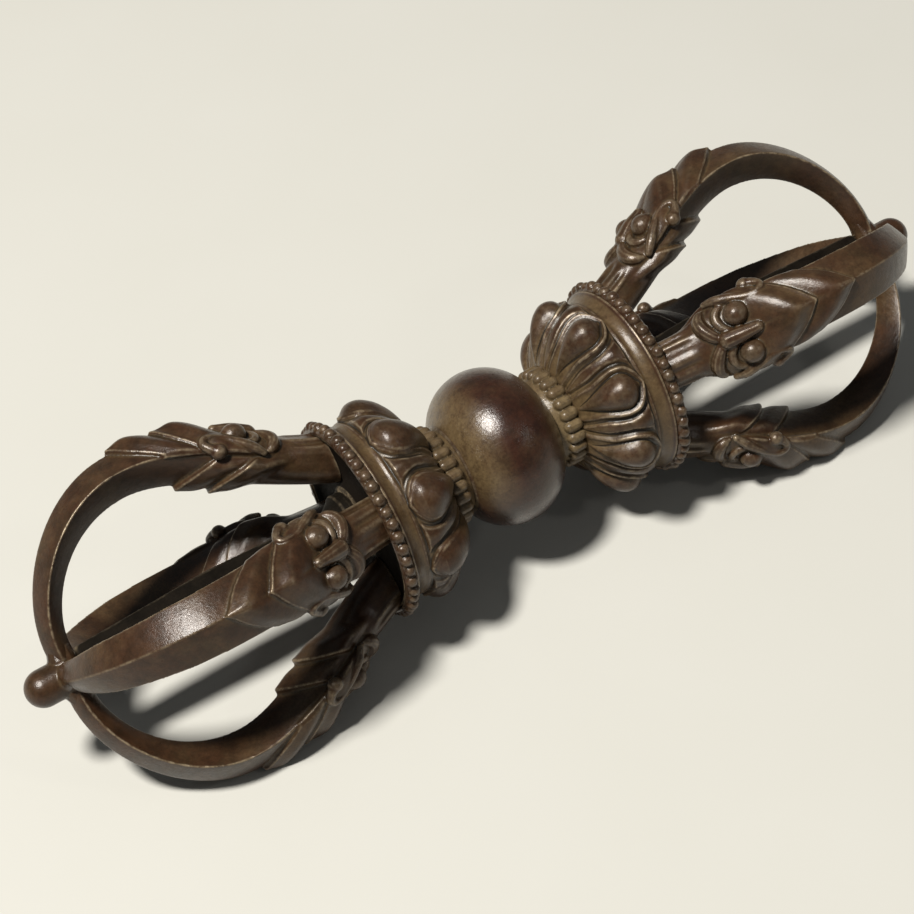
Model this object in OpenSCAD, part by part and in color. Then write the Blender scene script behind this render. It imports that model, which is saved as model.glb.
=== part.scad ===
// Four-pronged dorje vajra, a ritual sceptre of cast and chased bronze.
// The axis of the sceptre is X, and the origin is the middle of the orb.
// Every piece of the right half is modelled once and mirrored for the left half.

/* [Orb] */
// Largest diameter of the orb
orb_d = 25; // [20:0.5:30]
// Length of the orb between its two seats
orb_len = 15.8; // [13:0.2:20]
// Diameter of the flat seat at each side of the orb
orb_seat_d = 14; // [12:0.5:16]

/* [Neck ring] */
// Diameter over the ribs of a neck ring
neck_d = 16.6; // [15.4:0.2:19]
// Length of a neck ring along the axis
neck_len = 3.6; // [2.6:0.1:5]
// Number of ribs round a neck ring
neck_ribs = 24; // [16:1:30]

/* [Lotus cup] */
// Diameter over the petals
lotus_d = 31; // [28:0.5:34]
// Length of the cup from the neck ring to the bead ring
lotus_len = 11.9; // [10.5:0.1:14]
// Number of petals
petals = 8; // [6:1:10]
// Height of a petal above the cup
petal_rise = 0.9; // [0.5:0.1:1.4]

/* [Bead ring] */
// Diameter over the beads
rim_d = 32.7; // [31:0.1:36]
// Diameter of one bead
bead_d = 1.9; // [1.6:0.1:2.2]
// Number of beads in the ring
beads = 48; // [36:1:52]
// Wall of the ring between the middle of a bead and the plate
rim_wall = 0.9; // [0.6:0.1:1.5]

/* [Prong plate] */
// Thickness of the plate that carries the prongs, inside the bead ring
plate_t = 1.9; // [1.5:0.1:2.5]

/* [Prongs] */
// Width across two opposite prongs at the belly
spread = 50.8; // [46:0.2:58]
// Distance from the plate to the belly of a prong
belly_reach = 28.7; // [24:0.1:34]
// Distance from the belly of a prong to its tip
tip_reach = 20.3; // [16:0.1:25]
// Width of a prong at the belly
prong_w = 9.6; // [7:0.1:11]
// Depth of a prong at the belly, from outer to inner ridge
prong_depth = 6.6; // [5.6:0.1:8]
// Depth of a prong at its foot
foot_depth = 8; // [6.6:0.1:8.4]
// Distance from the axis to the middle of a foot
foot_r = 10.6; // [10:0.1:11.2]
// Depth of a prong where it meets the tip
tip_depth = 3.8; // [2.5:0.1:5]
// Side of the square tenon under a foot
tenon_w = 4; // [3:0.1:5]

/* [Centre prongs and tie rod] */
// Diameter of the tie rod through the orb
rod_d = 7; // [5.5:0.1:8]
// Diameter of the stud at each end of the tie rod
stud_d = 4.4; // [3.5:0.1:5]
// Length of each stud beyond the plate
stud_len = 7; // [5:0.5:10]
// Diameter of the round collar at the foot of a centre prong
collar_d = 10; // [8:0.2:11]
// Width of a centre prong at its middle
centre_w = 6; // [5:0.1:7]

/* [Tip] */
// Diameter of the knob at each end
knob_d = 5.8; // [5:0.1:7]
// Length of the knob beyond the prongs
knob_len = 5.2; // [4:0.1:7]
// Width of the square block that the prong tips sit against
hub_w = 7.4; // [6.4:0.1:8.4]

/* [Fit] */
// Clearance on each side of a rod, a tenon or the plate
fit = 0.1; // [0.05:0.01:0.2]

/* [Hidden] */
$fn = 64;
bronze = "#4a342a";
bronze_red = "#5e3a2e";
bronze_olive = "#5b5138";

// Places along the axis, from the orb outwards
x_seat = orb_len / 2;
x_neck = x_seat + neck_len;
x_rim = x_neck + lotus_len;
x_foot = x_rim + plate_t;
x_belly = x_foot + belly_reach;
x_tip = x_belly + tip_reach;
x_end = x_tip + knob_len;
far = 2 * x_end;

// Circle of the orb's side, through its equator and the edge of its seat
orb_drop = (orb_d - orb_seat_d) / 2;
orb_round = (x_seat * x_seat + orb_drop * orb_drop) / (2 * orb_drop);

// Lotus cup: a full cone that rounds over at its bulge, a waist behind the petals and a lip under the bead ring
bowl_r = lotus_d / 2 - petal_rise;
cup_start_r = neck_d / 2 - 0.9;
bulge_back = 4.9;
waist_len = 2.6;
lip_len = 1;
bowl_run = lotus_len - bulge_back;
bowl_drop = bowl_r - cup_start_r;
bowl_round = (bowl_run * bowl_run + bowl_drop * bowl_drop) / (2 * bowl_drop);
x_bulge = x_neck + bowl_run;
x_petal = x_rim - waist_len;
waist_r = bowl_r - 1.3;
lip_r = rim_d / 2 - 0.55 * bead_d;

// The plate fills the bead ring, within its wall
plate_d = rim_d - bead_d - 2 * (rim_wall + fit);

// Petal relief: shares of a petal's sector across it, and of the bowl's arc along it
bowl_axis_r = bowl_r - bowl_round;
conical = 1.4;
bowl_to = acos((x_bulge - x_petal) / bowl_round);
petal_rows = [0, 0.13, 0.27, 0.41, 0.54, 0.65, 0.75, 0.84, 0.91, 0.97, 1];
petal_rim = 0.15;
petal_gap = 0.06;
petal_floor = 0.35 * petal_rise;
function petal_half(s) = lookup(s, [[0, 0.72], [0.3, 0.74], [0.55, 0.86], [0.72, 0.9], [0.84, 0.8],
                                    [0.94, 0.54], [1, 0.28]]);
function rim_height(s) = petal_rise * lookup(s, [[0, 0], [0.2, 0.8], [0.4, 1], [0.97, 1], [1, 0]]);
function floor_height(s) = petal_floor * lookup(s, [[0, 0], [0.2, 1], [0.97, 1], [1, 0]]);
function boss_half(s) = lookup(s, [[0.35, 0.05], [0.54, 0.24], [0.72, 0.42], [0.86, 0.3], [0.95, 0.06]]);
function boss_height(s) = petal_rise * lookup(s, [[0.35, 0], [0.54, 0.6], [0.72, 0.9], [0.86, 0.6], [0.95, 0]]);
// Columns across one petal, each a share of its sector and a height above the bowl
function petal_columns(s) =
    let (w = petal_half(s), i = w - petal_rim, b = boss_half(s), h = rim_height(s), f = floor_height(s))
    [[-1, 0], [-w - petal_gap, 0], [-w, h], [-i, h], [-b, f], [0, f + boss_height(s)],
     [b, f], [i, h], [w, h], [w + petal_gap, 0]];
// Profile of the bowl: conical from the neck to the bulge at 90 degrees, and round behind it
function bowl_back(t) = t < 90 ? bowl_run * pow(cos(t), conical) : bowl_round * cos(t);
function bowl_out(t) = t < 90 ? cup_start_r + bowl_drop * pow(sin(t), conical)
                              : bowl_axis_r + bowl_round * sin(t);
// Point on the bowl at profile share s, turned a degrees round the axis, at height h
function bowl_point(s, a, h) =
    let (t = s * bowl_to,
         x = x_bulge - bowl_back(t) - h * cos(t),
         r = bowl_out(t) + h * sin(t))
    [x, r * sin(a), r * cos(a)];

// Prong edges: each is two cubic curves, from foot to belly and from belly to tip
hub_r = hub_w / 2;
foot_out = foot_r + foot_depth / 2;
foot_in = foot_r - foot_depth / 2;
belly_out = spread / 2;
belly_in = belly_out - prong_depth;
outer_rise = [[x_foot, foot_out],
              [x_foot + 0.33 * belly_reach, foot_out + 0.31 * (belly_out - foot_out)],
              [x_belly - 0.46 * belly_reach, belly_out],
              [x_belly, belly_out]];
outer_fall = [[x_belly, belly_out],
              [x_belly + 0.5 * tip_reach, belly_out],
              [x_tip, hub_r + 0.49 * (belly_out - hub_r)],
              [x_tip, hub_r]];
inner_rise = [[x_foot, foot_in],
              [x_foot + 0.37 * belly_reach, foot_in + 0.36 * (belly_in - foot_in)],
              [x_belly - 0.26 * belly_reach, belly_in],
              [x_belly, belly_in]];
inner_fall = [[x_belly, belly_in],
              [x_belly + 0.5 * tip_reach, belly_in],
              [x_tip - tip_depth, hub_r + 0.38 * (belly_in - hub_r)],
              [x_tip - tip_depth, hub_r]];

function cubic(p, t) = pow(1 - t, 3) * p[0] + 3 * t * pow(1 - t, 2) * p[1]
                       + 3 * t * t * (1 - t) * p[2] + pow(t, 3) * p[3];
// Station u runs from 0 at the foot through 1 at the belly to 2 at the tip
function outer_at(u) = u < 1 ? cubic(outer_rise, u) : cubic(outer_fall, u - 1);
function inner_at(u) = u < 1 ? cubic(inner_rise, u) : cubic(inner_fall, u - 1);

// Half width of a prong, as a share of its width at the belly
function half_width(u) = prong_w / 2
    * lookup(u, [[0, 0.76], [0.17, 0.8], [0.25, 1.02], [0.35, 1.15], [0.47, 1.12], [0.58, 1.03],
                 [0.7, 1], [1.2, 0.95], [1.6, 0.78], [2, 0.55]]);
// How round the section is: 1 is an ellipse, 2 is a diamond
function sharp(u) = lookup(u, [[0, 0.9], [0.4, 1], [0.6, 1.25], [0.85, 1.55], [1, 1.65], [2, 1.5]]);
// The widest part of the section lies nearer to the outer ridge
outer_share = 0.41;

// Makara leaves: two shingles over the outer ridge and two jaws under the inner one.
// Each ends at a station on the prong's side, and its point runs ahead along the ridge.
leaf_ends = [0.63, 0.745];
jaw_ends = [0.43, 0.63];
leaf_rise = 1.2;
jaw_rise = 0.9;
leaf_run = 0.24;
step = 0.012;
function leaf_lead(u) = lookup(u, [[0.3, 0], [0.43, 0.06], [0.63, 0.17], [0.745, 0.23], [0.92, 0.14], [1.2, 0]]);
function jaw_lead(u) = lookup(u, [[0.25, 0], [0.43, 0.12], [0.63, 0.095], [0.8, 0.02], [0.9, 0]]);
function lead(u, c) = (c > 0 ? leaf_lead(u) : jaw_lead(u)) * pow(abs(c), 1.8);
function swell(u, ends) = max([for (e = ends) u <= e ? max(0, 1 - (e - u) / leaf_run) : 0]);
function leaf_swell(u, c) = c > 0 ? leaf_rise * swell(u, leaf_ends) : jaw_rise * swell(u, jaw_ends);

ring_points = 12;
tenon_root = 1;
lobe_sides = 8;
x_hub = x_tip - tip_depth - fit;
stations = [0, 0.07, 0.14, 0.2, 0.26, 0.32, 0.38, jaw_ends[0], jaw_ends[0] + step, 0.5, 0.56,
            leaf_ends[0], leaf_ends[0] + step, 0.69, leaf_ends[1], leaf_ends[1] + step, 0.83, 0.92,
            1.02, 1.12, 1.24, 1.36, 1.48, 1.6, 1.72, 1.84, 1.92, 2];

function power(v, p) = sign(v) * pow(abs(v), p);
// Point at station u, turned a degrees round the section from the outer ridge
function prong_point(u, a) =
    let (v = u + lead(u, cos(a)),
         o = outer_at(v),
         i = inner_at(v),
         mid = o + outer_share * (i - o),
         c = power(cos(a), sharp(v)),
         ridge = c > 0 ? o : i,
         swollen = 1 + leaf_swell(u, c) / norm(ridge - mid),
         edge = mid + abs(c) * swollen * (ridge - mid),
         side = half_width(v) * power(sin(a), sharp(v)))
    [edge[0], side, edge[1]];

// Place on the makara head: station, share of the depth from the outer ridge, share of the half width
function head_point(u, depth, side) =
    let (p = outer_at(u) + depth * (inner_at(u) - outer_at(u)))
    [p[0], side * half_width(u), p[1]];

// Turns a profile drawn as axis position and radius into a solid round the X axis
module turned() {
    rotate([0, 90, 0]) rotate_extrude() rotate(90) mirror([0, 1]) children();
}

module side_profile(x0, x1, r0, r1) {
    translate([x0, r0]) square([x1 - x0, r1 - r0]);
}

// Plain round bar along the axis
module bar(x0, x1, d) {
    translate([x0, 0, 0]) rotate([0, 90, 0]) cylinder(d = d, h = x1 - x0);
}

module on_side(side) {
    if (side == "left") mirror([1, 0, 0]) children();
    else children();
}

// Round bar with a row of round lobes along it, as on a ribbed ring
module ribbed_bar(x0, x1, d, ribs, rib_d) {
    pitch_r = (d - rib_d) / 2;
    translate([x0, 0, 0]) rotate([0, 90, 0]) linear_extrude(x1 - x0) {
        circle(r = pitch_r);
        for (i = [0 : ribs - 1]) rotate((i + 0.5) * 360 / ribs)
            translate([pitch_r, 0]) circle(d = rib_d, $fn = 24);
    }
}

module tie_rod() {
    color(bronze) {
        bar(-x_rim, x_rim, rod_d);
        bar(-x_foot - stud_len, x_foot + stud_len, stud_d);
    }
}

module orb() {
    color(bronze_red) difference() {
        turned() intersection() {
            translate([0, orb_d / 2 - orb_round]) circle(r = orb_round, $fn = 128);
            side_profile(-x_seat, x_seat, 0, orb_d);
        }
        bar(-far, far, rod_d + 2 * fit);
    }
}

module neck_ring(side) {
    fillet_len = 0.25 * neck_len;
    rib_pitch = PI * neck_d / neck_ribs;
    color(bronze_olive) on_side(side) difference() {
        union() {
            bar(x_seat, x_neck, orb_seat_d);
            ribbed_bar(x_seat + fillet_len, x_neck, neck_d, neck_ribs, 0.92 * rib_pitch);
        }
        bar(-far, far, rod_d + 2 * fit);
    }
}

// Closed skin through rings of points, each ring with the same count
module lofted(rings) {
    n = len(rings[0]);
    last = (len(rings) - 1) * n;
    sides = [for (i = [0 : len(rings) - 2], k = [0 : n - 1])
        let (a = i * n + k, b = i * n + (k + 1) % n)
        each [[a, b, b + n], [a, b + n, a + n]]];
    start = [for (k = [n - 1 : -1 : 0]) k];
    end = [for (k = [0 : n - 1]) last + k];
    polyhedron([for (ring = rings) each ring], concat(sides, [start, end]));
}

module petal_bowl() {
    sector = 360 / petals;
    lofted([for (s = petal_rows) [for (i = [0 : petals - 1], c = petal_columns(s))
        bowl_point(s, (i + c[0] / 2) * sector + 45, c[1])]]);
}

module lotus_cup(side) {
    color(bronze_olive) on_side(side) difference() {
        union() {
            petal_bowl();
            turned() polygon([[x_bulge, 0], [x_bulge, waist_r], [x_rim - lip_len, waist_r],
                              [x_rim - lip_len / 2, lip_r], [x_rim, lip_r], [x_rim, 0]]);
        }
        bar(-far, far, rod_d + 2 * fit);
    }
}

module bead_ring(side) {
    color(bronze) on_side(side) difference() {
        union() {
            bar(x_rim, x_rim + bead_d, rim_d - bead_d);
            for (i = [0 : beads - 1]) rotate([i * 360 / beads, 0, 0])
                translate([x_rim + bead_d / 2, 0, (rim_d - bead_d) / 2]) sphere(d = 0.94 * bead_d);
        }
        bar(-far, far, plate_d + 2 * fit);
    }
}

// The four prongs stand on the diagonals between up, down, front and back
module on_diagonals() {
    for (a = [45 : 90 : 315]) rotate([a, 0, 0]) children();
}

module tenon(grow, len) {
    w = tenon_w + 2 * grow;
    translate([x_foot - len, -w / 2, foot_r - w / 2]) cube([len, w, w]);
}

module prong_plate(side) {
    color(bronze_olive) on_side(side) difference() {
        bar(x_rim, x_foot, plate_d);
        bar(-far, far, stud_d + 2 * fit);
        on_diagonals() translate([plate_t / 2, 0, 0]) tenon(fit, 2 * plate_t);
    }
}

module makara_lobe(from, to, r0, r1) {
    hull() {
        translate(from) sphere(r = r0, $fn = lobe_sides);
        translate(to) sphere(r = r1, $fn = lobe_sides);
    }
}

// One prong above the axis: blade, makara head and the tenon under its foot
module prong_body() {
    lofted([for (u = stations) [for (k = [0 : ring_points - 1]) prong_point(u, k * 360 / ring_points)]]);
    translate([tenon_root, 0, 0]) tenon(0, plate_t - fit + tenon_root);
    snout = head_point(0.31, 0, 0);
    makara_lobe(snout, head_point(0.53, 0.02, 0), 1.2, 1.3);
    for (s = [-1, 1]) {
        scroll = head_point(0.4, 0.22, 0.9 * s);
        makara_lobe(head_point(0.43, 0.12, 0.56 * s), head_point(0.33, 0.08, 0.62 * s), 2, 1.5);
        makara_lobe(head_point(0.57, 0.4, 1.04 * s), scroll, 1.3, 0.9);
        makara_lobe(scroll, head_point(0.22, 0.4, 0.96 * s), 0.9, 1);
    }
}

module prong(side, turn) {
    color(bronze) on_side(side) rotate([turn, 0, 0]) prong_body();
}

module centre_prong(side) {
    collar_len = stud_len / 2;
    tenon_d = knob_d / 2;
    x_mid = (x_foot + x_hub) / 2;
    waist = 0.8 * centre_w / 2;
    outline = [[x_foot, waist], [x_mid, centre_w / 2], [x_hub, waist],
               [x_hub, -waist], [x_mid, -centre_w / 2], [x_foot, -waist]];
    color(bronze) on_side(side) difference() {
        union() {
            intersection() {
                rotate([90, 0, 0]) linear_extrude(far, center = true) polygon(outline);
                linear_extrude(far, center = true) polygon(outline);
            }
            bar(x_foot, x_foot + collar_len, collar_d);
            bar(x_mid, x_hub + tip_depth / 2, tenon_d);
        }
        bar(0, x_foot + stud_len + fit, stud_d + 2 * fit);
    }
}

module tip_cap(side) {
    edge_r = 0.33 * knob_d;
    corner_turn = 1.16;
    color(bronze) on_side(side) difference() {
        union() {
            intersection() {
                rotate([45, 0, 0]) translate([x_hub, -hub_r, -hub_r])
                    cube([x_tip - x_hub, hub_w, hub_w]);
                bar(x_hub, x_tip, corner_turn * hub_w);
            }
            turned() {
                side_profile(x_tip - edge_r, x_end - edge_r, 0, knob_d / 2);
                intersection() {
                    translate([x_end - edge_r, knob_d / 2 - edge_r]) circle(r = edge_r);
                    side_profile(x_tip, x_end, 0, knob_d);
                }
                side_profile(x_tip, x_end, 0, knob_d / 2 - edge_r);
            }
        }
        bar(x_hub - fit, x_hub + tip_depth / 2 + fit, knob_d / 2 + 2 * fit);
    }
}

tie_rod();
orb();
neck_ring("left");  // neck_ring_left
neck_ring("right");  // neck_ring_right
lotus_cup("left");  // lotus_cup_left
lotus_cup("right");  // lotus_cup_right
bead_ring("left");  // bead_ring_left
bead_ring("right");  // bead_ring_right
prong_plate("left");  // prong_plate_left
prong_plate("right");  // prong_plate_right
prong("left", 45);  // prong_left_upper_front
prong("left", -45);  // prong_left_upper_back
prong("left", 135);  // prong_left_lower_front
prong("left", -135);  // prong_left_lower_back
prong("right", 45);  // prong_right_upper_front
prong("right", -45);  // prong_right_upper_back
prong("right", 135);  // prong_right_lower_front
prong("right", -135);  // prong_right_lower_back
centre_prong("left");  // centre_prong_left
centre_prong("right");  // centre_prong_right
tip_cap("left");  // tip_cap_left
tip_cap("right");  // tip_cap_right
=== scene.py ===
# Looks of a four-pronged dorje vajra of patinated bronze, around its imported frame
import math

import bpy
import numpy as np
from mathutils import Matrix, Vector


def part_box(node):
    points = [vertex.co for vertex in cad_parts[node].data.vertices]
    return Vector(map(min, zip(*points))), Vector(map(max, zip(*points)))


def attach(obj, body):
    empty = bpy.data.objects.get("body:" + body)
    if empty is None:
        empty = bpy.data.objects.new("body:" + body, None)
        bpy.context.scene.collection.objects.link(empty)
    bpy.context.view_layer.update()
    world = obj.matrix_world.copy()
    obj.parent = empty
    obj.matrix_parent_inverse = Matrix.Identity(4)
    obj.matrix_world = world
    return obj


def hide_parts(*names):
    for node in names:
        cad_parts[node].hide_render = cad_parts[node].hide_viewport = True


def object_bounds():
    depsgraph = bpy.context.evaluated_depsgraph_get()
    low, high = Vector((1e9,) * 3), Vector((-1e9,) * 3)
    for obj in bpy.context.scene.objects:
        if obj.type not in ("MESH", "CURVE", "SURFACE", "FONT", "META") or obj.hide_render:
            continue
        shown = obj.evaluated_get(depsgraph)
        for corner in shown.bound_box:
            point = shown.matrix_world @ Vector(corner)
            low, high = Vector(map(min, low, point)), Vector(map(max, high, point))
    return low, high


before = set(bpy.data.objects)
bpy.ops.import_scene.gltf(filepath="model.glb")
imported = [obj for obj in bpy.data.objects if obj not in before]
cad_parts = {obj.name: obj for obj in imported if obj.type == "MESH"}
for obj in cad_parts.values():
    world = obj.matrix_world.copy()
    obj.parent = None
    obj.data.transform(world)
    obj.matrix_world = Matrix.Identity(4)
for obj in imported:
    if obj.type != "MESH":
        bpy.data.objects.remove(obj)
cad_low, cad_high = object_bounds()

# Lengths below are in millimetres, and a finished piece is brought to metres
MM = 0.001


def cad_box(node):
    """Lowest and highest corner of a CAD node, in millimetres."""
    low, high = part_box(node)
    return low / MM, high / MM


# Places along the axis and sizes, read from the frame
x_seat = cad_box("orb")[1].x
orb_r = cad_box("orb")[1].z
x_neck = cad_box("neck_ring_right")[1].x
neck_r = cad_box("neck_ring_right")[1].z
x_rim = cad_box("bead_ring_right")[0].x
rim_r = cad_box("bead_ring_right")[1].z
x_foot = cad_box("prong_plate_right")[1].x
plate_r = cad_box("prong_plate_right")[1].z
x_end = cad_box("tip_cap_right")[1].x
floor_z = cad_low.z

# Sizes of hidden bores and of details that the frame does not name
bore_r = 3.6
seat_r = 7.0
petals = 8
ribs = 24
beads = 48

# Places closer than this are one vertex
weld = 0.0005

# Shared modelling steps


def deselect():
    """Leaves edit mode and clears the selection."""
    if bpy.context.object and bpy.context.object.mode != "OBJECT":
        bpy.ops.object.mode_set(mode="OBJECT")
    bpy.ops.object.select_all(action="DESELECT")


def pick(*pieces):
    """Selects these pieces alone, the first one active."""
    deselect()
    for piece in pieces:
        piece.select_set(True)
    bpy.context.view_layer.objects.active = pieces[0]


def apply_modifier(piece, kind, **settings):
    """Adds a modifier with these settings and applies it."""
    pick(piece)
    modifier = piece.modifiers.new(kind.lower(), kind)
    for key, value in settings.items():
        setattr(modifier, key, value)
    bpy.ops.object.modifier_apply(modifier=modifier.name)


def closed_outwards():
    """In edit mode: merges doubles and turns every face outwards."""
    bpy.ops.mesh.select_all(action="SELECT")
    bpy.ops.mesh.remove_doubles(threshold=weld)
    bpy.ops.mesh.normals_make_consistent(inside=False)
    bpy.ops.object.mode_set(mode="OBJECT")


def places_of(piece):
    """Vertex places of a piece, as an array."""
    places = np.empty(len(piece.data.vertices) * 3)
    piece.data.vertices.foreach_get("co", places)
    return places.reshape(-1, 3)


def put_places(piece, places):
    """Moves the vertices of a piece to these places."""
    piece.data.vertices.foreach_set("co", places.ravel())
    piece.data.update()


def turned(outline, sides=96):
    """Ring turned on the X axis. Its outline runs from bore to bore as (x, r), bridged through the bore."""
    deselect()
    x, r = outline[0]
    facing = (0, math.pi / 2, 0)
    bpy.ops.mesh.primitive_circle_add(vertices=sides, radius=r, location=(x, 0, 0), rotation=facing)
    piece = bpy.context.object
    bpy.ops.object.transform_apply(location=True, rotation=True, scale=True)
    bpy.ops.object.mode_set(mode="EDIT")
    bpy.ops.mesh.select_all(action="SELECT")
    for next_x, next_r in outline[1:]:
        bpy.ops.mesh.extrude_region_move(TRANSFORM_OT_translate={"value": (next_x - x, 0, 0)})
        grow = next_r / r
        bpy.ops.transform.resize(value=(1, grow, grow), center_override=(next_x, 0, 0))
        x, r = next_x, next_r
    bpy.ops.mesh.select_mode(type="VERT")
    bpy.ops.mesh.select_all(action="DESELECT")
    bpy.ops.mesh.select_non_manifold()
    bpy.ops.mesh.bridge_edge_loops()
    closed_outwards()
    return piece


def arc(centre_x, centre_r, radius, start, end, steps):
    """Points of an arc in the (x, r) half plane, angles in degrees from the +X direction."""
    turns = [math.radians(start + (end - start) * i / steps) for i in range(steps + 1)]
    return [(centre_x + radius * math.cos(t), centre_r + radius * math.sin(t)) for t in turns]


def ball(centre, radius, stretch=(1, 1, 1), segments=24, rings=16):
    """Round boss at a place, stretched along the axes."""
    deselect()
    bpy.ops.mesh.primitive_uv_sphere_add(segments=segments, ring_count=rings, radius=radius, location=centre)
    piece = bpy.context.object
    piece.scale = stretch
    bpy.ops.object.transform_apply(location=True, rotation=True, scale=True)
    return piece


def bar(points, radii, smooth_steps=8):
    """Round bar along a smooth curve through the points, with a radius at each and round ends."""
    deselect()
    bpy.ops.curve.primitive_bezier_curve_add(location=(0, 0, 0))
    piece = bpy.context.object
    spline = piece.data.splines[0]
    spline.bezier_points.add(len(points) - len(spline.bezier_points))
    for knot, place, radius in zip(spline.bezier_points, points, radii):
        knot.co = place
        knot.radius = radius
        knot.handle_left_type = knot.handle_right_type = "AUTO"
    piece.data.bevel_depth = 1.0
    piece.data.bevel_resolution = 3
    piece.data.resolution_u = smooth_steps
    piece.data.use_fill_caps = True
    bpy.ops.object.convert(target="MESH")
    piece = bpy.context.object
    bpy.ops.object.mode_set(mode="EDIT")
    closed_outwards()
    ends = [ball(points[i], 0.98 * radii[i], segments=14, rings=10) for i in (0, -1)]
    return joined([piece, *ends])


def joined(forms):
    """Joins forms into the first one."""
    pick(*forms)
    if len(forms) > 1:
        bpy.ops.object.join()
    return bpy.context.object


def copied(piece, matrix):
    """Copy of a piece with its own mesh, moved by a matrix."""
    twin = piece.copy()
    twin.data = piece.data.copy()
    bpy.context.scene.collection.objects.link(twin)
    twin.data.transform(matrix)
    return twin


def ring_of(piece, count, start=0.0):
    """The piece and its copies, evenly spaced round the X axis, joined."""
    turns = [Matrix.Rotation(start + 2 * math.pi * i / count, 4, "X") for i in range(count)]
    twins = [copied(piece, turn) for turn in turns]
    bpy.data.objects.remove(piece)
    return joined(twins)


def fused(forms, grain, rounds):
    """Casts overlapping forms into one skin with soft inner corners."""
    piece = joined(forms)
    apply_modifier(piece, "REMESH", mode="VOXEL", voxel_size=grain)
    apply_modifier(piece, "SMOOTH", factor=0.5, iterations=rounds)
    return piece


def smooth_step(value, low, high):
    """Rises softly from 0 at low to 1 at high."""
    t = np.clip((value - low) / (high - low), 0, 1)
    return t * t * (3 - 2 * t)


def soft_table(steps, blur):
    """Function through (place, value) steps, with its corners rounded over the blur length."""
    at, values = np.array(steps, float).T
    fine = np.linspace(at[0] - 3 * blur, at[-1] + 3 * blur, 1200)
    gap = fine[1] - fine[0]
    count = int(3 * blur / gap)
    weight = np.exp(-0.5 * (np.arange(-count, count + 1) * gap / blur) ** 2)
    padded = np.pad(np.interp(fine, at, values), count, mode="edge")
    soft = np.convolve(padded, weight / weight.sum(), mode="valid")
    return lambda place: np.interp(place, fine, soft)


def mark_hollows(piece, reach, extra=None):
    """Stores how many mm a place lies under (above 0) or over its smoothed surroundings, wide and close."""
    mesh = piece.data
    count = len(mesh.vertices)
    places = places_of(piece)
    normals = np.empty(count * 3)
    mesh.vertex_normals.foreach_get("vector", normals)
    normals = normals.reshape(-1, 3)
    edges = np.empty(len(mesh.edges) * 2, int)
    mesh.edges.foreach_get("vertices", edges)
    first, second = edges.reshape(-1, 2).T
    ends = np.concatenate([first, second])
    others = np.concatenate([second, first])
    valence = np.maximum(np.bincount(ends, minlength=count), 1)[:, None]
    soft = places.copy()
    for i in range(reach):
        near = np.stack([np.bincount(ends, soft[others, k], count) for k in range(3)], 1) / valence
        soft = 0.5 * soft + 0.5 * near
        if i == reach // 4:
            store_layer(mesh, "crease", ((soft - places) * normals).sum(1))
    depth = ((soft - places) * normals).sum(1)
    store_layer(mesh, "hollow", depth + extra(places) if extra else depth)


def store_layer(mesh, name, values):
    """Keeps one value for each vertex under a name that the materials read."""
    layer = mesh.attributes.new(name, "FLOAT", "POINT")
    layer.data.foreach_set("value", values.astype(np.float32))


def finished(piece, name, material, slot, *nodes):
    """Names a piece, brings it to metres and puts it in the place of its CAD nodes."""
    piece.name = name
    piece.data.name = name
    piece.data.transform(Matrix.Scale(MM, 4))
    piece.data.materials.clear()
    piece.data.materials.append(material)
    pick(piece)
    bpy.ops.object.shade_smooth()
    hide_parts(*nodes)
    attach(piece, "root")


# Half turn that carries a right-hand piece to the left end
to_left = Matrix.Rotation(math.pi, 4, "Z")

# Sockets of a mix node that blends colours: under, over and result
UNDER, OVER, RESULT = 6, 7, 2

# Bronze finishes
# Near-black for tight creases, partly soot and partly painted shade
soot_and_shade = (0.007, 0.005, 0.0035)
# Near-black for the parts inside the cage, which is painted shade
painted_shade_black = (0.008, 0.006, 0.004)
brown = (0.050, 0.026, 0.012)
dark_red = (0.034, 0.012, 0.006)
olive = (0.104, 0.069, 0.032)
pale_olive = (0.130, 0.091, 0.044)
# Pale bronze for ridges, partly wear and partly a painted highlight
bright = (0.240, 0.185, 0.118)


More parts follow.
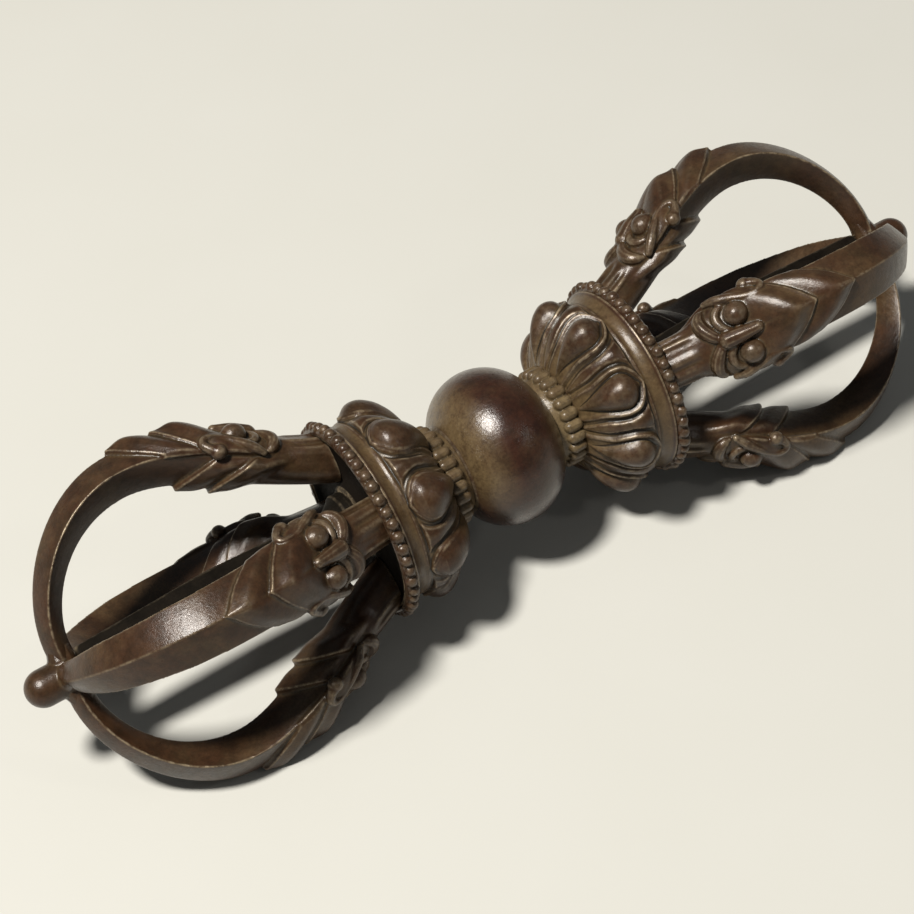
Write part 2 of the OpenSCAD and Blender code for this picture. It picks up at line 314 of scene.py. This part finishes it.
def bronze(name, body, glow, gloss, aged=0.0, dusty=0.5, waxed=0.4, gleam=0.14, rubbed_and_highlight=0.0, dust=olive,
           cavity=0.10):
    """Patinated bronze: a body, its glow where it stands out, dust in the hollows, near-black creases that
    are partly soot and partly painted shade, and pale ridges that are partly wear and partly a painted
    highlight.

    gloss is the roughness, aged and dusty are shares of dust, waxed and gleam are the weights of the two
    sheens, the rubbed share is the wear and painted highlight on broad ridges, and cavity is the depth in mm
    of a full hollow."""
    material = bpy.data.materials.new(name)
    material.use_nodes = True
    nodes = material.node_tree.nodes
    links = material.node_tree.links
    shader = nodes["Principled BSDF"]
    shader.inputs["Specular IOR Level"].default_value = gleam
    shader.inputs["Coat Weight"].default_value = waxed
    shader.inputs["Coat Roughness"].default_value = 0.24
    place = nodes.new("ShaderNodeTexCoord")

    def noise(scale, detail, rough=0.6):
        texture = nodes.new("ShaderNodeTexNoise")
        texture.inputs["Scale"].default_value = scale
        texture.inputs["Detail"].default_value = detail
        texture.inputs["Roughness"].default_value = rough
        links.new(place.outputs["Object"], texture.inputs["Vector"])
        return texture.outputs["Fac"]

    def ramp(value, low, high, start=0.0, end=1.0):
        limits = nodes.new("ShaderNodeMapRange")
        limits.inputs["From Min"].default_value = low
        limits.inputs["From Max"].default_value = high
        limits.inputs["To Min"].default_value = start
        limits.inputs["To Max"].default_value = end
        links.new(value, limits.inputs["Value"])
        return limits.outputs["Result"]

    def mix(share, under, over):
        blend = nodes.new("ShaderNodeMix")
        blend.data_type = "RGBA"
        links.new(share, blend.inputs["Factor"])
        for socket, colour in ((blend.inputs[UNDER], under), (blend.inputs[OVER], over)):
            if isinstance(colour, tuple):
                socket.default_value = (*colour, 1)
            else:
                links.new(colour, socket)
        return blend.outputs[RESULT]

    def both(operation, first, second):
        step = nodes.new("ShaderNodeMath")
        step.operation = operation
        step.use_clamp = True
        links.new(first, step.inputs[0])
        links.new(second, step.inputs[1])
        return step.outputs["Value"]

    def layer(attribute):
        values = nodes.new("ShaderNodeAttribute")
        values.attribute_name = attribute
        return values.outputs["Fac"]

    def relief(height, strength, distance, under=None):
        bump = nodes.new("ShaderNodeBump")
        bump.inputs["Strength"].default_value = strength
        bump.inputs["Distance"].default_value = distance
        links.new(height, bump.inputs["Height"])
        if under is not None:
            links.new(under, bump.inputs["Normal"])
        return bump.outputs["Normal"]

    def darker(share):
        return tuple(share * c for c in body)

    depth = layer("hollow")
    crease = layer("crease")
    clouds = noise(150, 5)
    patches = noise(85, 6, 0.65)
    specks = noise(900, 4, 0.7)
    fine = noise(2600, 3)
    in_hollow = ramp(depth, -aged * cavity, (1 - 0.5 * aged) * cavity)
    on_ridge = ramp(crease, -0.08 * cavity, -0.45 * cavity)
    crease_soot_and_shade = ramp(crease, 0.05 * cavity, 0.4 * cavity)
    film = both("MULTIPLY", ramp(patches, 0.44, 0.62), ramp(specks, 0.3, 0.65, 0.5 * dusty, dusty))
    stain = both("ADD", both("MULTIPLY", in_hollow, ramp(specks, 0.25, 0.6, 0.55, 1.0)), film)
    wear_and_highlight = both("MULTIPLY", on_ridge, ramp(specks, 0.4, 0.62, 0.1, 0.7))
    wide_ridge = ramp(depth, -0.15 * cavity, -0.8 * cavity, 0.0, rubbed_and_highlight)
    wear_and_highlight = both("ADD", wear_and_highlight, both("MULTIPLY", wide_ridge, ramp(specks, 0.4, 0.62, 0.3, 1.0)))
    proud = ramp(depth, 0.3 * cavity, -0.4 * cavity, 0.3, 1.0)
    raised = both("MULTIPLY", proud, ramp(clouds, 0.36, 0.58, 0.45, 1.0))
    colour = mix(raised, body, glow)
    colour = mix(ramp(noise(300, 8, 0.75), 0.42, 0.62, 0.0, 0.85), colour, darker(0.35))
    colour = mix(stain, colour, dust)
    colour = mix(ramp(noise(650, 5, 0.7), 0.48, 0.7, 0.0, 0.5), colour, darker(0.4))
    colour = mix(ramp(fine, 0.42, 0.75, 0.0, 0.3), colour, darker(0.35))
    # Pale bronze on ridges and broad domes: partly wear, partly a painted highlight
    colour = mix(wear_and_highlight, colour, bright)
    # Tight creases turn near-black: partly soot, partly painted shade
    colour = mix(ramp(crease_soot_and_shade, 0.0, 1.0, 0.0, 0.9), colour, soot_and_shade)
    links.new(colour, shader.inputs["Base Color"])
    links.new(ramp(wear_and_highlight, 0.0, 1.0, 0.1, 0.5), shader.inputs["Metallic"])

    rough = nodes.new("ShaderNodeMath")
    rough.operation = "ADD"
    rough.inputs[1].default_value = gloss
    links.new(ramp(specks, 0.3, 0.75, -0.08, 0.12), rough.inputs[0])
    dull = nodes.new("ShaderNodeMath")
    dull.operation = "MULTIPLY_ADD"
    dull.inputs[1].default_value = 0.15
    links.new(stain, dull.inputs[0])
    links.new(rough.outputs["Value"], dull.inputs[2])
    links.new(dull.outputs["Value"], shader.inputs["Roughness"])

    pits = relief(fine, 0.14, 0.12 * MM)
    waves = relief(noise(420, 9, 0.72), 0.27, 0.4 * MM, pits)
    for socket in ("Normal", "Coat Normal"):
        links.new(waves, shader.inputs[socket])
    return material


# Parts inside the cage are near-black in body, glow and dust alike, which is painted shade
in_shade = {"gloss": 0.6, "waxed": 0.0, "gleam": 0.05, "dust": painted_shade_black}
orb_finish = bronze("orb bronze", dark_red, dark_red, gloss=0.31, dusty=0.25, waxed=0.75, gleam=0.12)
neck_finish = bronze("neck bronze", brown, brown, gloss=0.46, aged=0.9, dusty=0.8, dust=pale_olive,
                     cavity=0.08)
lotus_finish = bronze("lotus bronze", brown, dark_red, gloss=0.34, aged=0.2, dusty=0.25)
bead_finish = bronze("bead bronze", brown, dark_red, gloss=0.34, dusty=0.2, cavity=0.06)
plate_painted_shade = bronze("plate bronze painted shade", painted_shade_black, painted_shade_black, **in_shade)
prong_finish = bronze("prong bronze", brown, dark_red, gloss=0.34, dusty=0.38, rubbed_and_highlight=0.45)
inner_painted_shade = bronze("inner bronze painted shade", painted_shade_black, painted_shade_black, **in_shade)

# Orb, between its two flat seats


def orb_dust_and_shade(places):
    """Extra dust on the upper left and beside the right neck. The upper left dust fades out downwards, which
    leaves the lower side darker as painted shade.
    """
    on_left = smooth_step(-places[:, 0], 0.5, 7.5) * smooth_step(places[:, 2], -4.0, 5.0)
    on_right = smooth_step(places[:, 0], 4.8, x_seat)
    return 0.12 * np.maximum(on_left, on_right)


orb_drop = orb_r - seat_r
orb_round = (x_seat ** 2 + orb_drop ** 2) / (2 * orb_drop)
orb_centre_r = orb_r - orb_round
orb_edge = math.degrees(math.atan2(seat_r - orb_centre_r, x_seat))
orb_line = arc(0, orb_centre_r, orb_round, 180 - orb_edge, orb_edge, 48)
orb = turned([(-x_seat, bore_r), *orb_line, (x_seat, bore_r)], 128)
mark_hollows(orb, 2, orb_dust_and_shade)
finished(orb, "orb_body", orb_finish, "orb_bronze", "orb")

# Neck rings: a plain cove against the orb and a row of rounded ribs


def make_neck_ring():
    cove = 0.33 * (x_neck - x_seat)
    rib_x = x_seat + cove
    rib_r = 0.44 * 2 * math.pi * neck_r / ribs
    body = turned([(x_seat, bore_r), (x_seat, seat_r - 0.35), (x_seat + 0.3 * cove, seat_r - 0.25),
                   (x_seat + 0.7 * cove, seat_r), (rib_x, seat_r + 0.2), (rib_x + 0.2, neck_r - 1.05),
                   (x_neck - 0.2, neck_r - 1.05), (x_neck, neck_r - 1.2), (x_neck, bore_r)])
    place_r = neck_r - rib_r
    rib = bar([(rib_x + 0.6, 0, place_r), (x_neck - 0.5, 0, place_r)], [rib_r, rib_r])
    return fused([body, ring_of(rib, ribs)], 0.12, 2)


# Lotus cup: a full cone carved with eight petals, a hollow saddle and a flared lip
bowl_r = 14.6
cup_start_r = neck_r - 0.9
bulge_back = 4.9
bowl_run = x_rim - bulge_back - x_neck
bowl_drop = bowl_r - cup_start_r
bowl_round = (bowl_run ** 2 + bowl_drop ** 2) / (2 * bowl_drop)
x_bulge = x_neck + bowl_run
bowl_axis_r = bowl_r - bowl_round
bowl_to = math.acos((x_bulge - (x_rim - 2.6)) / bowl_round)
conical = 1.4
bowl_rows = 110


def bowl_profile(turn):
    """x and r of the bowl: conical from the neck to the bulge at a quarter turn, and round behind it."""
    if turn < math.pi / 2:
        x = x_bulge - bowl_run * math.cos(turn) ** conical
        return x, cup_start_r + bowl_drop * math.sin(turn) ** conical
    return x_bulge - bowl_round * math.cos(turn), bowl_axis_r + bowl_round * math.sin(turn)


bowl_turns = np.linspace(0, bowl_to, bowl_rows + 1)
bowl_line = np.array([bowl_profile(turn) for turn in bowl_turns])
bowl_runs = np.concatenate([[0], np.cumsum(np.hypot(*np.diff(bowl_line, axis=0).T))])
bowl_arc = bowl_runs[-1]

# Petal forms, by the distance along the bowl from the neck
petal_half = soft_table([(0, 2.2), (2.0, 2.6), (5.0, 3.1), (7.0, 3.75), (8.7, 4.15), (10.0, 4.05),
                         (10.9, 3.7), (11.6, 3.0), (12.2, 2.1), (12.6, 1.1), (12.9, -0.5)], 0.25)
boss_half = soft_table([(1.5, 0.3), (3.2, 0.8), (5.0, 1.5), (6.5, 2.1), (7.7, 2.5), (8.7, 2.8), (9.6, 2.8),
                        (10.4, 2.3), (11.0, 1.4), (11.5, 0.4)], 0.25)
boss_rise = soft_table([(0.8, 0), (2.4, 0.45), (4.2, 1.1), (5.8, 1.65), (7.4, 2.05), (8.9, 2.1), (9.8, 1.75),
                        (10.6, 1.1), (11.3, 0.35), (11.9, 0)], 0.3)
boss_middle = 8.7
sepal_end = 12.3


def inside(half, along, across):
    """Distance inside the outline that lies this half width from a middle line."""
    slope = (half(along + 0.02) - half(along - 0.02)) / 0.04
    return (half(along) - across) / np.sqrt(1 + slope ** 2)


def petal_relief(along, across, half_pitch, fullness, rim_rise):
    """Height of the carving: a rimmed petal with a teardrop boss, and half a domed sepal on each side."""
    within = inside(petal_half, along, across)
    rim = rim_rise * (0.35 + 0.65 * smooth_step(along, 2.0, 8.0)) * np.exp(-((within - 0.6) / 0.5) ** 2)
    field = 0.3 * smooth_step(within, 0.1, 0.6)
    on_boss = boss_middle + (along - boss_middle) / fullness
    spread = np.clip(1 - (across / (fullness * boss_half(on_boss))) ** 2, 0, 1)
    boss = boss_rise(on_boss) * spread ** 0.85
    on_sepal = np.minimum(-within - 0.25, sepal_end - along)
    dome = 0.3 * np.exp(-((half_pitch - across) / 1.1) ** 2) * smooth_step(along, 2.0, 7.0)
    sepal = (0.35 + dome) * smooth_step(on_sepal, 0, 0.5)
    groove = -0.28
    ends = smooth_step(along, 0, 0.7) * (1 - smooth_step(along, bowl_arc - 0.5, bowl_arc))
    return ends * (groove + np.maximum(rim + field + boss, sepal))


def make_lotus_cup(fullness, rim_rise):
    bowl = [tuple(place) for place in bowl_line]
    lip_r = rim_r - 1.0
    saddle_r = soft_table([(0, lip_r - 0.2), (0.25, lip_r - 0.15), (0.6, 14.85), (1.0, 14.5), (1.3, 14.32),
                           (1.6, 14.18), (1.9, 14.08), (2.2, 14.05), (2.6, bowl_line[-1][1])], 0.12)
    saddle = [(x_rim - back, float(saddle_r(back))) for back in np.linspace(2.5, 0.1, 25)]
    neck_end = [(x_neck - 0.3, bore_r), (x_neck - 0.3, cup_start_r - 0.5)]
    lip_end = [(x_rim, lip_r - 0.8), (x_rim, bore_r)]
    cup = turned([*neck_end, *bowl, *saddle, *lip_end], 600)
    places = places_of(cup)
    r = np.hypot(places[:, 1], places[:, 2])
    row = np.abs(places[:, :1] - bowl_line[:, 0]) + np.abs(r[:, None] - bowl_line[:, 1])
    nearest = row.argmin(1)
    on_bowl = row.min(1) < 0.002
    turn = bowl_turns[nearest]
    sector = 2 * math.pi / petals
    across = np.mod(np.arctan2(places[:, 1], places[:, 2]) + sector / 2, sector) - sector / 2
    height = petal_relief(bowl_runs[nearest], np.abs(across) * r, sector / 2 * r, fullness, rim_rise)
    height = np.where(on_bowl, height, 0)
    places[:, 0] -= height * np.cos(turn)
    places[:, 1:] *= (1 + height * np.sin(turn) / r)[:, None]
    put_places(cup, places)
    return cup


# Bead rings: a band carrying worn beads, each a little different
draws = np.random.default_rng(11)


def make_bead_ring():
    bead_r = (x_foot - x_rim) / 2
    x_mid = x_rim + bead_r
    band_r = rim_r - bead_r
    band = turned([(x_rim, plate_r + 0.05), (x_rim, band_r - 0.15), (x_rim + 0.25, band_r + 0.1),
                   (x_foot - 0.25, band_r + 0.1), (x_foot, band_r - 0.25), (x_foot, plate_r + 0.05)])
    row = []
    for i in range(beads):
        turn = Matrix.Rotation(2 * math.pi * (i + 0.5 + draws.uniform(-0.07, 0.07)) / beads, 4, "X")
        size = bead_r * draws.uniform(0.9, 1.08)
        centre = (x_mid + draws.uniform(-0.1, 0.1), 0, band_r + draws.uniform(-0.15, 0.08))
        bead = ball(centre, size, (1.0, 1.0, 0.98), 16, 10)
        bead.data.transform(turn)
        row.append(bead)
    return fused([band, *row], 0.13, 2)


# Prong plates: discs inside the bead rings, with a dished back, near-black as painted shade


def make_plate():
    hole_r = 2.4
    x_face = x_foot - 0.15
    rim = [(x_rim, plate_r), (x_foot - 0.3, plate_r), (x_face, plate_r - 0.3)]
    dish = [(x_foot - 0.8, plate_r - 1.2), (x_foot - 1.0, 6.5), (x_face, 5.6)]
    return turned([(x_rim, hole_r), *rim, *dish, (x_face, hole_r)])


# Prongs: a ridged blade that grows out of a makara head
belly_x, belly_out, belly_in = 54.0, 25.4, 18.8
tip_x, tip_depth, hub_r = 74.3, 3.8, 3.7
foot_out, foot_in = 14.6, 6.6
half_w = 4.8
outer_share = 0.41
u_start, u_end = -0.03, 2.06
blade_rows, blade_sides = 340, 176
leaf_one_x, leaf_two_x = 47.2, 54.0
jaw_one_x, jaw_two_x = 42.6, 47.2


def edge_curve(start, end, pulls):
    """Control points of an edge. Three pulls take it from a sloped foot to a level belly, two from there
    to an upright tip."""
    dx, dr = end[0] - start[0], end[1] - start[1]
    if len(pulls) == 3:
        leave = (start[0] + pulls[0] * dx, start[1] + pulls[1] * dr)
        return [start, leave, (end[0] - pulls[2] * dx, end[1]), end]
    return [start, (start[0] + pulls[0] * dx, start[1]), (end[0], end[1] - pulls[1] * dr), end]


outer_rise = edge_curve((x_foot, foot_out), (belly_x, belly_out), (0.33, 0.31, 0.46))
outer_fall = edge_curve((belly_x, belly_out), (tip_x, hub_r), (0.5, 0.49))
inner_rise = edge_curve((x_foot, foot_in), (belly_x, belly_in), (0.37, 0.36, 0.26))
inner_fall = edge_curve((belly_x, belly_in), (tip_x - tip_depth, hub_r), (0.62, 0.38))

# Half width of the blade as a share of half_w, and how sharp its ridges are, by the station
half_width = soft_table([(0, 0.76), (0.17, 0.8), (0.25, 1.0), (0.35, 1.13), (0.47, 1.12), (0.58, 1.04),
                         (0.7, 1.0), (0.85, 1.0), (1.2, 0.95), (1.6, 0.78), (1.85, 0.58), (2.06, 0.46)], 0.03)
sharpness = soft_table([(0, 0.85), (0.2, 0.92), (0.42, 1.0), (0.55, 1.35), (0.7, 1.6), (1.0, 1.85),
                        (1.6, 1.85), (2, 1.6)], 0.04)


def cubic(points, t, k):
    """Coordinate k of a cubic curve at t."""
    p = [point[k] for point in points]
    return (1 - t) ** 3 * p[0] + 3 * t * (1 - t) ** 2 * p[1] + 3 * t * t * (1 - t) * p[2] + t ** 3 * p[3]


def along_edge(rise, fall, u):
    """x and r of an edge at station u: 0 at the foot, 1 at the belly, 2 at the tip."""
    t = np.where(u < 1, u, u - 1)
    return tuple(np.where(u < 1, cubic(rise, t, k), cubic(fall, t, k)) for k in (0, 1))


def bare_blade(u, a):
    """Places (x, w, r) of the bare blade at station u and section angle a from the outer ridge."""
    ox, orr = along_edge(outer_rise, outer_fall, u)
    ix, ir = along_edge(inner_rise, inner_fall, u)
    power = sharpness(u)
    c = np.sign(np.cos(a)) * np.abs(np.cos(a)) ** power
    s = np.sign(np.sin(a)) * np.abs(np.sin(a)) ** power
    mx, mr = ox + outer_share * (ix - ox), orr + outer_share * (ir - orr)
    x = np.where(c > 0, mx + c * (ox - mx), mx - c * (ix - mx))
    r = np.where(c > 0, mr + c * (orr - mr), mr - c * (ir - mr))
    return np.stack([x, s * half_w * half_width(u), r], -1), np.abs(s), c


def blade_skin(u, a):
    """Places of the bare blade, their outward directions, share of the half width and share of the depth."""
    places, q, c = bare_blade(u, a)
    along = bare_blade(u + 1e-4, a)[0] - bare_blade(u - 1e-4, a)[0]
    round_step = bare_blade(u, a + 0.02)[0] - bare_blade(u, a - 0.02)[0]
    out = np.cross(round_step, along)
    out /= np.linalg.norm(out, axis=1)[:, None] + 1e-12
    middle = (bare_blade(u, np.zeros_like(a))[0] + bare_blade(u, np.full_like(a, math.pi))[0]) / 2
    out *= np.sign(((places - middle) * out).sum(1))[:, None]
    return places, out, q, c


def shingle(within, edge, rise, length):
    """Height of a leaf by the distance inside its edge: a crisp step, a domed back and a long fading root."""
    lip = smooth_step(within, 0.0, 0.22)
    back = 1 - smooth_step(within, 0.35 * length, length)
    crown = edge + (rise - edge) * smooth_step(within, 0.0, 0.35 * length)
    return lip * back * crown


def carving(x, q, c, a):
    """Relief on the blade: leaves over the outer ridge, jaws over the inner one and lines along the neck."""
    sweep = np.abs(np.sin(a))
    outer = smooth_step(c, -0.1, 0.06)
    flank = 1 - 0.4 * q * q
    leaf_two = shingle((leaf_two_x - 2.7 * sweep - 3.9 * sweep ** 4 - x) * 0.8, 0.75, 1.5, 7.5) * flank
    leaf_one = shingle((leaf_one_x - 2.4 * sweep - 3.0 * sweep ** 4 - x) * 0.8, 0.7, 2.0, 8.0) * flank
    inner = smooth_step(-c, 0.0, 0.4)
    climb = 1 - np.abs(c)
    jaw_two = shingle((jaw_two_x - 7.8 * climb - x) * 0.55, 0.9, 1.0, 4.0)
    jaw_one = shingle((jaw_one_x - 8.0 * climb - x) * 0.55, 1.0, 1.1, 3.6)
    grain = np.cos(9 * a) + 0.5 * np.cos(15 * a + 1)
    lines = 0.16 * grain * (1 - smooth_step(x, 28.6, 30.8)) * smooth_step(c, -0.3, 0.2)
    return outer * (leaf_two + leaf_one) + inner * (jaw_two + jaw_one) + lines


def make_blade():
    """A grid wrapped round into the blade, then carved."""
    deselect()
    bpy.ops.mesh.primitive_grid_add(x_subdivisions=blade_rows, y_subdivisions=blade_sides, size=1)
    piece = bpy.context.object
    flat = places_of(piece)
    u = u_start + np.clip(flat[:, 0] + 0.5, 0, 1) * (u_end - u_start)
    a = (flat[:, 1] + 0.5) * 2 * math.pi
    places, out, q, c = blade_skin(u, a)
    put_places(piece, places + carving(places[:, 0], q, c, a)[:, None] * out)
    bpy.ops.object.mode_set(mode="EDIT")
    bpy.ops.mesh.select_all(action="SELECT")
    bpy.ops.mesh.remove_doubles(threshold=weld)
    bpy.ops.mesh.select_mode(type="VERT")
    bpy.ops.mesh.select_all(action="DESELECT")
    bpy.ops.mesh.select_non_manifold()
    bpy.ops.mesh.fill_holes(sides=0)
    closed_outwards()
    return piece


# Makara head, laid on the skin of the blade
head_u = np.linspace(0, 1, 400)
head_x = along_edge(outer_rise, outer_fall, head_u)[0]
head_round = 5.1


def on_skin(x, across, lift):
    """Place on the head by the x of its ridge, the way round from the ridge and the height above the skin."""
    u = np.array([np.interp(x, head_x, head_u)])
    places, out, _, _ = blade_skin(u, np.array([across / head_round]))
    return Vector(places[0] + lift * out[0])


def crescent(middle, radius, thick, start, end, lift):
    """Ridge on an arc round a place of the skin, angles in degrees from the tip's direction to the side."""
    places = []
    radii = []
    knots = 12
    for i in range(knots):
        share = i / (knots - 1)
        turn = math.radians(start + (end - start) * share)
        places.append(on_skin(middle[0] + radius * math.cos(turn), middle[1] + radius * math.sin(turn), lift))
        radii.append(thick * (0.4 + 0.6 * math.sin(math.pi * share) ** 0.6))
    return bar(places, radii, 4)


def head_side():
    """Forms of the makara head on the side w above 0: eye, lids and ear scroll."""
    eye = (36.4, 3.1)
    forms = [ball(on_skin(*eye, 0.25), 1.8, (1.1, 1.0, 1.0))]
    forms.append(crescent(eye, 2.75, 0.7, 85, 280, 0.1))
    forms.append(crescent((36.4, 4.0), 4.85, 1.15, 138, 238, 0.0))
    scroll = [(40.2, 6.2, 19.0), (41.2, 6.0, 20.0), (41.5, 5.3, 21.0), (40.6, 4.8, 21.3), (39.3, 4.7, 20.7),
              (37.0, 5.4, 19.0), (35.2, 5.9, 17.3), (34.1, 5.9, 15.9)]
    sizes = [0.95, 0.7, 0.65, 0.65, 0.72, 0.82, 0.8, 0.55]
    forms.append(bar(scroll, sizes, 6))
    forms.append(ball((40.1, 6.2, 18.9), 1.1, (1.1, 1.0, 1.0)))
    return joined(forms)


def make_prong():
    one_side = head_side()
    other_side = copied(one_side, Matrix.Scale(-1, 4, (0, 1, 0)))
    pick(other_side)
    bpy.ops.object.mode_set(mode="EDIT")
    closed_outwards()
    snout = bar([on_skin(33.9, 0, 0.2), on_skin(36.0, 0, 0.5), on_skin(38.3, 0, 0.5)], [1.45, 1.25, 0.85])
    return fused([make_blade(), one_side, other_side, snout], 0.15, 2)


# Tip caps: a smooth round finger that the four prong tips flow into


def make_tip_cap():
    finger_r = 2.85
    root = x_end - 8.7
    finger = turned([(root, 0.2), (root, 1.8), (root + 0.8, 2.5), (root + 2.0, finger_r),
                     *arc(x_end - finger_r, 0, finger_r, 90, 4, 20), (x_end, 0.2), (root + 0.3, 0.1)], 48)
    stub = bar([(tip_x - 2.0, 0, 6.2), (tip_x - 1.9, 0, 4.2), (tip_x - 1.6, 0, 2.0)], [1.0, 1.75, 2.2])
    return fused([finger, ring_of(stub, 4, math.pi / 4)], 0.12, 8)


# Centre prongs: a slim four-sided bar with a collar, inside the cage, near-black as painted shade


def make_centre_prong():
    deselect()
    bar_w = 6
    taper = 0.8
    x_hub = tip_x - tip_depth
    x_mid = (x_foot + x_hub) / 2
    bpy.ops.mesh.primitive_cube_add(size=1, location=(x_mid, 0, 0), scale=(x_hub - x_foot, bar_w, bar_w))
    piece = bpy.context.object
    bpy.ops.object.transform_apply(location=True, rotation=True, scale=True)
    bpy.ops.object.mode_set(mode="EDIT")
    bpy.ops.mesh.select_all(action="SELECT")
    bpy.ops.mesh.bisect(plane_co=(x_mid, 0, 0), plane_no=(1, 0, 0))
    bpy.ops.object.mode_set(mode="OBJECT")
    for vertex in piece.data.vertices:
        if abs(vertex.co.x - x_mid) > 1:
            vertex.co.y *= taper
            vertex.co.z *= taper
    apply_modifier(piece, "BEVEL", width=0.6, segments=3)
    collar = turned([(x_foot - 0.3, 2.3), (x_foot - 0.3, 5.0), (x_foot + 0.4, 5.2), (x_foot + 1.6, 5.2),
                     (x_foot + 2.2, 4.6), (x_foot + 3.4, 3.6), (x_foot + 3.4, 2.3)], 64)
    return fused([piece, collar], 0.2, 3)


# Both ends are made from one set of right-hand pieces


def make_pair(right, name, material, slot):
    """Finishes a right-hand piece and its copy at the left end."""
    left = copied(right, to_left)
    finished(right, f"{name}_right_body", material, slot, f"{name}_right")
    finished(left, f"{name}_left_body", material, slot, f"{name}_left")


def saddle_tarnish(places):
    """Extra tarnish in the saddle behind the petals and beside the neck."""
    near_neck = 1 - smooth_step(places[:, 0], x_neck, x_neck + 4.0)
    past_petals = smooth_step(places[:, 0], x_rim - 3.0, x_rim - 2.2)
    in_saddle = past_petals * (1 - smooth_step(places[:, 0], x_rim - 0.9, x_rim))
    return 0.07 * near_neck + 0.03 * in_saddle


for name, make, material, slot, reach in (
    ("neck_ring", make_neck_ring, neck_finish, "neck_bronze", 12),
    ("bead_ring", make_bead_ring, bead_finish, "bead_bronze", 14),
    ("prong_plate", make_plate, plate_painted_shade, "plate_bronze", 3),
    ("centre_prong", make_centre_prong, inner_painted_shade, "inner_bronze", 10),
    ("tip_cap", make_tip_cap, prong_finish, "prong_bronze", 10),
):
    part = make()
    mark_hollows(part, reach)
    make_pair(part, name, material, slot)

# The left cup is worn smoother than the right one
for side, move, fullness, rim_rise in (("right", Matrix(), 1.0, 0.55), ("left", to_left, 1.28, 0.3)):
    cup = make_lotus_cup(fullness, rim_rise)
    mark_hollows(cup, 24, saddle_tarnish)
    cup.data.transform(move)
    finished(cup, f"lotus_cup_{side}_body", lotus_finish, "lotus_bronze", f"lotus_cup_{side}")


def foot_wear(places):
    """Less tarnish on the neck of a prong, below its head."""
    return 0.01 * (smooth_step(places[:, 0], 29.0, 33.0) - 1)


# Eight prongs from one pattern, with its mesh lightened to this share of the faces
kept_faces = 0.48
prong_turns = {"upper_front": 45, "upper_back": -45, "lower_front": 135, "lower_back": -135}
pattern = make_prong()
mark_hollows(pattern, 16, foot_wear)
apply_modifier(pattern, "DECIMATE", ratio=kept_faces)
for place, degrees in prong_turns.items():
    turn = Matrix.Rotation(math.radians(degrees), 4, "X")
    for side, move in (("right", turn), ("left", turn @ to_left)):
        prong = copied(pattern, move)
        finished(prong, f"prong_{side}_{place}_body", prong_finish, "prong_bronze", f"prong_{side}_{place}")
bpy.data.objects.remove(pattern)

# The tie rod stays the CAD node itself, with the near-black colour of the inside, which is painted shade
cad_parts["tie_rod"].data.materials.clear()
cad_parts["tie_rod"].data.materials.append(inner_painted_shade)

# Pale table top


def table_finish():
    material = bpy.data.materials.new("pale table")
    material.use_nodes = True
    nodes = material.node_tree.nodes
    links = material.node_tree.links
    shader = nodes["Principled BSDF"]
    shader.inputs["Roughness"].default_value = 0.55
    shader.inputs["Specular IOR Level"].default_value = 0.2
    place = nodes.new("ShaderNodeTexCoord")
    texture = nodes.new("ShaderNodeTexNoise")
    texture.inputs["Scale"].default_value = 25
    texture.inputs["Detail"].default_value = 6
    links.new(place.outputs["Object"], texture.inputs["Vector"])
    blend = nodes.new("ShaderNodeMix")
    blend.data_type = "RGBA"
    blend.inputs[UNDER].default_value = (0.428, 0.420, 0.384, 1)
    blend.inputs[OVER].default_value = (0.448, 0.440, 0.410, 1)
    links.new(texture.outputs["Fac"], blend.inputs["Factor"])
    links.new(blend.outputs[RESULT], shader.inputs["Base Color"])
    return material


deselect()
bpy.ops.mesh.primitive_plane_add(size=4, location=(0, 0, floor_z))
table = bpy.context.object
table.name = "table_top"
table.data.materials.append(table_finish())

# Camera at the photograph's viewing angle
view_azimuth, view_elevation, view_roll = -28.71, 48.42, -5.87
view_distance = 0.3637
focal_px, image_px = 2390.7, 914
orb_px = (38.2, -10.4)
a, e, roll = (math.radians(v) for v in (view_azimuth, view_elevation, view_roll))
backward = Vector((math.sin(a) * math.cos(e), -math.cos(a) * math.cos(e), math.sin(e)))
level_right = Vector((math.cos(a), math.sin(a), 0))
level_up = backward.cross(level_right)
right = math.cos(roll) * level_right + math.sin(roll) * level_up
upward = math.cos(roll) * level_up - math.sin(roll) * level_right
camera = bpy.data.objects.new("camera", bpy.data.cameras.new("camera"))
bpy.context.scene.collection.objects.link(camera)
camera.data.sensor_width = 36
camera.data.lens = focal_px / image_px * camera.data.sensor_width
camera.data.shift_x = -orb_px[0] / image_px
camera.data.shift_y = orb_px[1] / image_px
camera.data.clip_start = 0.01
axes = Matrix((right, upward, backward)).transposed()
camera.matrix_world = Matrix.Translation(backward * view_distance) @ axes.to_4x4()
bpy.context.scene.camera = camera

# Dim room light with one lamp high on the left and a weak one in front
lamp_distance = 1.2


def lamp(name, direction, size, power, colour):
    data = bpy.data.lights.new(name, "AREA")
    data.shape = "DISK"
    data.size = size
    data.energy = power
    data.color = colour
    light = bpy.data.objects.new(name, data)
    bpy.context.scene.collection.objects.link(light)
    aim = Vector(direction).normalized()
    light.location = aim * lamp_distance
    light.rotation_mode = "QUATERNION"
    light.rotation_quaternion = aim.to_track_quat("Z", "Y")


lamp("high lamp", (-0.364, -0.027, 0.931), size=0.18, power=27.8, colour=(1.0, 0.975, 0.92))
lamp("front lamp", (0.50, -0.57, 0.65), size=0.12, power=0.6, colour=(1.0, 0.98, 0.95))
world = bpy.data.worlds.new("room")
bpy.context.scene.world = world
world.use_nodes = True
sky = world.node_tree.nodes["Background"]
sky.inputs["Color"].default_value = (0.93, 0.98, 1.0, 1)
sky.inputs["Strength"].default_value = 0.126
bpy.context.scene.view_settings.view_transform = "Standard"
